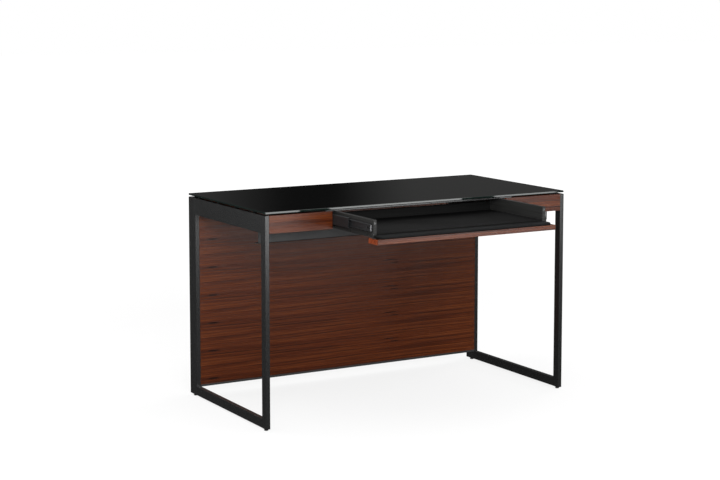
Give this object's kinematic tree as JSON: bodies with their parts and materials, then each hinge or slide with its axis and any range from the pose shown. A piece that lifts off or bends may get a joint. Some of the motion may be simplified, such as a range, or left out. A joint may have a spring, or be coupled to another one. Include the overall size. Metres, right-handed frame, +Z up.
{
  "type": "computer desk with keyboard tray",
  "caption": "Computer desk: black glass top on two steel side frames, walnut panels, and a sliding keyboard tray whose front flap folds down as a palm rest.",
  "frame": {"origin": "on the floor, mid-width, halfway between the desk's rear edge and the open flap's front edge, with the tray pulled out", "axes": "+X to the sitter's right along the desk's width, +Y towards the back, +Z up"},
  "size_m": [1.2192, 0.9058, 0.7366],
  "materials": {
    "black_glass": "satin-etched tempered glass, opaque black, polished green-tinted edges",
    "black_steel": "fine-texture black powder coat",
    "slide_steel": "black electro-coated slide steel",
    "zinc": "bright zinc plate",
    "walnut": "satin-lacquered chocolate walnut veneer, horizontal grain",
    "black_laminate": "matt black laminate",
    "black_plastic": "moulded",
    "black_rubber": "soft",
    "pad_leather": "black synthetic leather over firm foam"
  },
  "bodies": {
    "desk": {"back_panel": "walnut", "back_panel_channel": "black_steel", "bay_header": "black_steel", "bay_wall_screws": "zinc", "bracket_screws": "zinc", "crossbar_screws": "zinc", "frame_bolts": "zinc", "front_crossbar": "black_steel", "glass_pads": "black_rubber", "glass_top": "black_glass", "header_screws": "zinc", "left_bay_wall": "black_laminate", "left_bottom_rail": "black_steel", "left_front_leg": "black_steel", "left_front_panel": "walnut", "left_rear_leg": "black_steel", "left_slide_outer": "slide_steel", "left_top_rail": "black_steel", "leg_end_plates": "black_steel", "leveler_bushes": "zinc", "panel_brackets": "black_steel", "rear_rail": "black_steel", "right_bay_wall": "black_laminate", "right_bottom_rail": "black_steel", "right_front_leg": "black_steel", "right_front_panel": "walnut", "right_rear_leg": "black_steel", "right_slide_outer": "slide_steel", "right_top_rail": "black_steel", "rivet_nuts": "zinc", "slide_wall_screws": "black_steel"},
    "tray": {"tray_base": "black_laminate", "tray_left_side": "black_laminate", "tray_right_side": "black_laminate", "tray_back": "black_laminate", "tray_screws": "black_steel", "slide_tray_screws": "black_steel", "hinge_pins": "black_steel", "tray_magnets": "black_steel", "flap_bumpers": "black_rubber", "slide_end_tabs": "zinc", "left_slide_inner": "slide_steel", "right_slide_inner": "slide_steel"},
    "flap": {"flap_panel": "walnut", "palm_pad": "pad_leather", "hinge_arms": "black_steel", "hinge_arm_screws": "black_steel", "flap_strikes": "zinc"},
    "left_slide_middle": {"left_slide_middle": "slide_steel"},
    "left_outer_ball_cage": {"left_outer_ball_cage": "zinc"},
    "left_inner_ball_cage": {"left_inner_ball_cage": "zinc"},
    "left_front_leveler": {"left_front_leveler": "black_plastic"},
    "left_rear_leveler": {"left_rear_leveler": "black_plastic"},
    "right_slide_middle": {"right_slide_middle": "slide_steel"},
    "right_outer_ball_cage": {"right_outer_ball_cage": "zinc"},
    "right_inner_ball_cage": {"right_inner_ball_cage": "zinc"},
    "right_front_leveler": {"right_front_leveler": "black_plastic"},
    "right_rear_leveler": {"right_rear_leveler": "black_plastic"}
  },
  "joints": [
    {"name": "tray_slide", "type": "slide", "parent": "desk", "child": "tray", "axis": [0, -1, 0], "range_m": [-0.277, 0]},
    {"name": "flap_hinge", "type": "hinge", "parent": "tray", "child": "flap", "pos_m": [0, -0.40505, 0.67595], "axis": [-1, 0, 0], "range_deg": [0, 90]},
    {"name": "left_slide_middle_travel", "type": "slide", "parent": "desk", "child": "left_slide_middle", "axis": [0, -1, 0], "range_m": [-0.1385, 0]},
    {"name": "left_outer_ball_cage_travel", "type": "slide", "parent": "desk", "child": "left_outer_ball_cage", "axis": [0, -1, 0], "range_m": [-0.06925, 0]},
    {"name": "left_inner_ball_cage_travel", "type": "slide", "parent": "desk", "child": "left_inner_ball_cage", "axis": [0, -1, 0], "range_m": [-0.20775, 0]},
    {"name": "left_front_leveler_screw", "type": "slide", "parent": "desk", "child": "left_front_leveler", "axis": [0, 0, -1], "range_m": [0, 0.01]},
    {"name": "left_rear_leveler_screw", "type": "slide", "parent": "desk", "child": "left_rear_leveler", "axis": [0, 0, -1], "range_m": [0, 0.01]},
    {"name": "right_slide_middle_travel", "type": "slide", "parent": "desk", "child": "right_slide_middle", "axis": [0, -1, 0], "range_m": [-0.1385, 0]},
    {"name": "right_outer_ball_cage_travel", "type": "slide", "parent": "desk", "child": "right_outer_ball_cage", "axis": [0, -1, 0], "range_m": [-0.06925, 0]},
    {"name": "right_inner_ball_cage_travel", "type": "slide", "parent": "desk", "child": "right_inner_ball_cage", "axis": [0, -1, 0], "range_m": [-0.20775, 0]},
    {"name": "right_front_leveler_screw", "type": "slide", "parent": "desk", "child": "right_front_leveler", "axis": [0, 0, -1], "range_m": [0, 0.01]},
    {"name": "right_rear_leveler_screw", "type": "slide", "parent": "desk", "child": "right_rear_leveler", "axis": [0, 0, -1], "range_m": [0, 0.01]}
  ],
  "couplings": [
    {"joint": "left_slide_middle_travel", "follows": "tray_slide", "ratio": 0.5},
    {"joint": "left_outer_ball_cage_travel", "follows": "tray_slide", "ratio": 0.25},
    {"joint": "left_inner_ball_cage_travel", "follows": "tray_slide", "ratio": 0.75},
    {"joint": "right_slide_middle_travel", "follows": "tray_slide", "ratio": 0.5},
    {"joint": "right_outer_ball_cage_travel", "follows": "tray_slide", "ratio": 0.25},
    {"joint": "right_inner_ball_cage_travel", "follows": "tray_slide", "ratio": 0.75}
  ]
}
